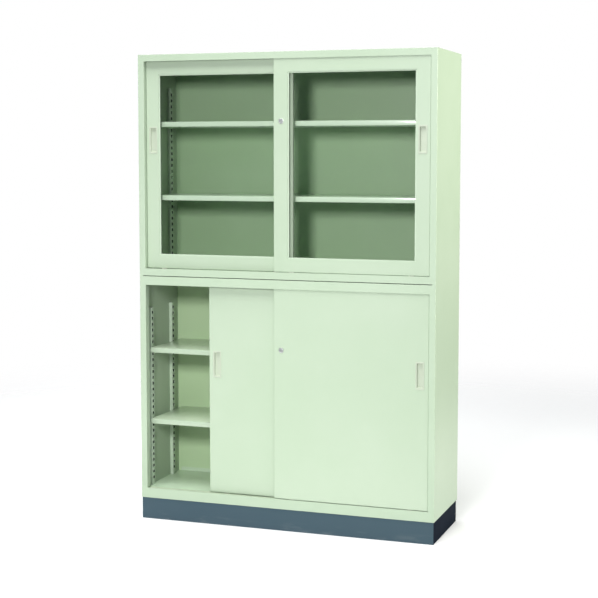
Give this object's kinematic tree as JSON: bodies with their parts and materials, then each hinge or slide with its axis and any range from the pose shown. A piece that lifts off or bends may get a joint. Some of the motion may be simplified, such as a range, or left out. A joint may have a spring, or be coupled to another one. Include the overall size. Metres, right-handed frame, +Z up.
{
  "type": "bookcase with sliding doors",
  "caption": "Tall steel bookcase on a plinth: an upper unit with sliding glass doors stands on a lower unit with sliding steel doors, with shelves on slotted standards.",
  "frame": {"origin": "on the floor, at the middle of the bookcase's plan", "axes": "+X to the right along the front, +Y to the back, +Z up; the doors face -Y"},
  "size_m": [1.2, 0.38, 1.838],
  "materials": {
    "cabinet_paint": "satin pale green enamel",
    "interior_paint": "satin pale green enamel",
    "shelf_paint": "satin pale green enamel",
    "standard_paint": "satin pale green enamel",
    "plinth_paint": "satin slate grey enamel",
    "glass": "clear float glass, faint green tint",
    "seal_plastic": "matt",
    "pull_plastic": "semi-gloss cream",
    "nylon": "natural nylon",
    "guide_plastic": "matt extrusion in the cabinet's colour",
    "clip_steel": "zinc plated",
    "lock_chrome": "bright plated"
  },
  "bodies": {
    "cabinet": {"plinth_front": "plinth_paint", "plinth_rear": "plinth_paint", "plinth_ends": "plinth_paint", "lower_left_side": "cabinet_paint", "lower_right_side": "cabinet_paint", "lower_top": "cabinet_paint", "lower_floor": "cabinet_paint", "lower_back": "interior_paint", "lower_standards": "standard_paint", "lower_shelf_clips": "clip_steel", "lower_shelf_low": "shelf_paint", "lower_shelf_high": "shelf_paint", "lower_top_guide": "guide_plastic", "lower_track": "guide_plastic", "upper_left_side": "cabinet_paint", "upper_right_side": "cabinet_paint", "upper_top": "cabinet_paint", "upper_floor": "cabinet_paint", "upper_back": "interior_paint", "upper_standards": "standard_paint", "upper_shelf_clips": "clip_steel", "upper_shelf_low": "shelf_paint", "upper_shelf_high": "shelf_paint", "upper_top_guide": "guide_plastic", "upper_track": "guide_plastic"},
    "lower_left_door": {"lower_left_pull": "pull_plastic", "lower_left_door_runners": "nylon", "lower_left_door_panel": "cabinet_paint"},
    "lower_left_door_roller_left": {"lower_left_door_roller_left": "nylon"},
    "lower_left_door_roller_right": {"lower_left_door_roller_right": "nylon"},
    "lower_right_door": {"lower_right_pull": "pull_plastic", "lower_right_door_runners": "nylon", "lower_right_door_panel": "cabinet_paint", "lower_lock_barrel": "lock_chrome"},
    "lower_right_door_roller_left": {"lower_right_door_roller_left": "nylon"},
    "lower_right_door_roller_right": {"lower_right_door_roller_right": "nylon"},
    "upper_left_door": {"upper_left_pull": "pull_plastic", "upper_left_door_runners": "nylon", "upper_left_door_frame": "cabinet_paint", "upper_left_glass": "glass", "upper_left_glazing_seal": "seal_plastic"},
    "upper_left_door_roller_left": {"upper_left_door_roller_left": "nylon"},
    "upper_left_door_roller_right": {"upper_left_door_roller_right": "nylon"},
    "upper_right_door": {"upper_right_pull": "pull_plastic", "upper_right_door_runners": "nylon", "upper_right_door_frame": "cabinet_paint", "upper_right_glass": "glass", "upper_right_glazing_seal": "seal_plastic", "upper_lock_barrel": "lock_chrome"},
    "upper_right_door_roller_left": {"upper_right_door_roller_left": "nylon"},
    "upper_right_door_roller_right": {"upper_right_door_roller_right": "nylon"},
    "lower_lock_plug": {"lower_lock_plug": "lock_chrome"},
    "upper_lock_plug": {"upper_lock_plug": "lock_chrome"}
  },
  "joints": [
    {"name": "lower_left_door_slide", "type": "slide", "parent": "cabinet", "child": "lower_left_door", "axis": [1, 0, 0], "range_m": [-0.262, 0.276]},
    {"name": "lower_left_door_roller_left_turn", "type": "hinge", "parent": "lower_left_door", "child": "lower_left_door_roller_left", "pos_m": [-0.242, -0.162, 0.1273], "axis": [0, 1, 0], "range_deg": [-1880, 1980]},
    {"name": "lower_left_door_roller_right_turn", "type": "hinge", "parent": "lower_left_door", "child": "lower_left_door_roller_right", "pos_m": [0.228, -0.162, 0.1273], "axis": [0, 1, 0], "range_deg": [-1880, 1980]},
    {"name": "lower_right_door_slide", "type": "slide", "parent": "cabinet", "child": "lower_right_door", "axis": [1, 0, 0], "range_m": [-0.538, 0]},
    {"name": "lower_right_door_roller_left_turn", "type": "hinge", "parent": "lower_right_door", "child": "lower_right_door_roller_left", "pos_m": [0.034, -0.179, 0.1273], "axis": [0, 1, 0], "range_deg": [-3860, 0]},
    {"name": "lower_right_door_roller_right_turn", "type": "hinge", "parent": "lower_right_door", "child": "lower_right_door_roller_right", "pos_m": [0.504, -0.179, 0.1273], "axis": [0, 1, 0], "range_deg": [-3860, 0]},
    {"name": "upper_left_door_slide", "type": "slide", "parent": "cabinet", "child": "upper_left_door", "axis": [1, 0, 0], "range_m": [0, 0.538]},
    {"name": "upper_left_door_roller_left_turn", "type": "hinge", "parent": "upper_left_door", "child": "upper_left_door_roller_left", "pos_m": [-0.504, -0.162, 1.0073], "axis": [0, 1, 0], "range_deg": [0, 3860]},
    {"name": "upper_left_door_roller_right_turn", "type": "hinge", "parent": "upper_left_door", "child": "upper_left_door_roller_right", "pos_m": [-0.034, -0.162, 1.0073], "axis": [0, 1, 0], "range_deg": [0, 3860]},
    {"name": "upper_right_door_slide", "type": "slide", "parent": "cabinet", "child": "upper_right_door", "axis": [1, 0, 0], "range_m": [-0.538, 0]},
    {"name": "upper_right_door_roller_left_turn", "type": "hinge", "parent": "upper_right_door", "child": "upper_right_door_roller_left", "pos_m": [0.034, -0.179, 1.0073], "axis": [0, 1, 0], "range_deg": [-3860, 0]},
    {"name": "upper_right_door_roller_right_turn", "type": "hinge", "parent": "upper_right_door", "child": "upper_right_door_roller_right", "pos_m": [0.504, -0.179, 1.0073], "axis": [0, 1, 0], "range_deg": [-3860, 0]},
    {"name": "lower_lock_turn", "type": "hinge", "parent": "lower_right_door", "child": "lower_lock_plug", "pos_m": [-0.0065, -0.186, 0.704], "axis": [0, 1, 0], "range_deg": [0, 90]},
    {"name": "upper_lock_turn", "type": "hinge", "parent": "upper_right_door", "child": "upper_lock_plug", "pos_m": [-0.0065, -0.186, 1.577], "axis": [0, 1, 0], "range_deg": [0, 90]}
  ],
  "couplings": [
    {"joint": "lower_left_door_roller_left_turn", "follows": "lower_left_door_slide", "rad_per_m": 125},
    {"joint": "lower_left_door_roller_right_turn", "follows": "lower_left_door_slide", "rad_per_m": 125},
    {"joint": "lower_right_door_roller_left_turn", "follows": "lower_right_door_slide", "rad_per_m": 125},
    {"joint": "lower_right_door_roller_right_turn", "follows": "lower_right_door_slide", "rad_per_m": 125},
    {"joint": "upper_left_door_roller_left_turn", "follows": "upper_left_door_slide", "rad_per_m": 125},
    {"joint": "upper_left_door_roller_right_turn", "follows": "upper_left_door_slide", "rad_per_m": 125},
    {"joint": "upper_right_door_roller_left_turn", "follows": "upper_right_door_slide", "rad_per_m": 125},
    {"joint": "upper_right_door_roller_right_turn", "follows": "upper_right_door_slide", "rad_per_m": 125}
  ]
}
